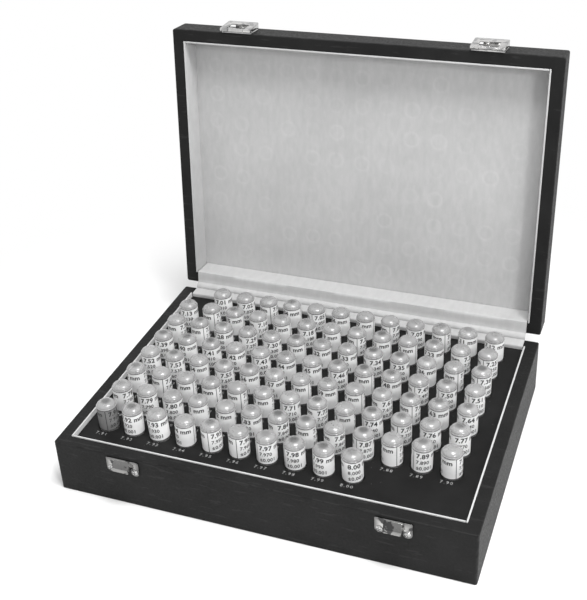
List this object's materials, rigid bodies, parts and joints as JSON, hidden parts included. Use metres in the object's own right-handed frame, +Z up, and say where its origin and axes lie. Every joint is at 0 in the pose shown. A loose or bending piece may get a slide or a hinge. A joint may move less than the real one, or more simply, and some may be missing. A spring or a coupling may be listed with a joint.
{
  "type": "pin gauge set in hinged case",
  "caption": "Set of capped tubes holding cylindrical pin gauges, standing in a drilled plate inside a low hinged case with a lined lid and two front hasps.",
  "frame": {"origin": "middle of the case's underside, which stands on the table", "axes": "+X to the right seen from the front, +Y back to the hinges, +Z up"},
  "size_m": [0.296, 0.2638, 0.2623],
  "materials": {
    "case_covering": "board covered with dark grained leathercloth",
    "lining": "thin board covered with pale flocked cloth",
    "batten": "plain softwood",
    "rack_plate": "satin",
    "tube": "clear tube wrapped in a white paper label",
    "cap": "translucent",
    "gauge_steel": "ground and lapped",
    "cloth": "pale flocked cloth",
    "fittings": "bright plated steel"
  },
  "bodies": {
    "base": {"base_floor": "case_covering", "base_front_wall": "case_covering", "base_back_wall": "case_covering", "base_left_wall": "case_covering", "base_right_wall": "case_covering", "base_front_lining": "lining", "base_left_lining": "lining", "base_right_lining": "lining", "left_batten": "batten", "right_batten": "batten", "front_batten": "batten", "back_batten": "batten", "gauge_plate": "rack_plate", "tube_row_1": "tube", "tube_row_2": "tube", "tube_row_3": "tube", "tube_row_4": "tube", "tube_row_5": "tube", "tube_row_6": "tube", "tube_row_7": "tube", "tube_row_8": "tube", "cap_row_1": "cap", "cap_row_2": "cap", "cap_row_3": "cap", "cap_row_4": "cap", "cap_row_5": "cap", "cap_row_6": "cap", "cap_row_7": "cap", "cap_row_8": "cap", "gauge_row_1": "gauge_steel", "gauge_row_2": "gauge_steel", "gauge_row_3": "gauge_steel", "gauge_row_4": "gauge_steel", "gauge_row_5": "gauge_steel", "gauge_row_6": "gauge_steel", "gauge_row_7": "gauge_steel", "gauge_row_8": "gauge_steel", "hinge_base_leaves": "fittings", "hinge_pins": "fittings", "left_keeper": "fittings", "right_keeper": "fittings", "keeper_screws": "fittings", "hinge_flap": "cloth"},
    "lid": {"lid_panel": "case_covering", "lid_front_wall": "case_covering", "lid_back_wall": "case_covering", "lid_left_wall": "case_covering", "lid_right_wall": "case_covering", "lid_pad": "cloth", "lid_front_lining": "lining", "lid_left_lining": "lining", "lid_right_lining": "lining", "hinge_lid_leaves": "fittings", "hasp_brackets": "fittings", "hasp_pins": "fittings", "bracket_rivets": "fittings"},
    "left_hasp": {"left_hasp": "fittings"},
    "right_hasp": {"right_hasp": "fittings"}
  },
  "joints": [
    {"name": "lid_hinge", "type": "hinge", "parent": "base", "child": "lid", "pos_m": [0, 0.1099, 0.0424], "axis": [1, 0, 0], "range_deg": [0, 95.5], "deforming": ["hinge_flap"]},
    {"name": "left_hasp_hinge", "type": "hinge", "parent": "lid", "child": "left_hasp", "pos_m": [-0.0948, 0.13064, 0.26097], "axis": [1, 0, 0], "range_deg": [0, 168]},
    {"name": "right_hasp_hinge", "type": "hinge", "parent": "lid", "child": "right_hasp", "pos_m": [0.0948, 0.13064, 0.26097], "axis": [1, 0, 0], "range_deg": [0, 168]}
  ]
}
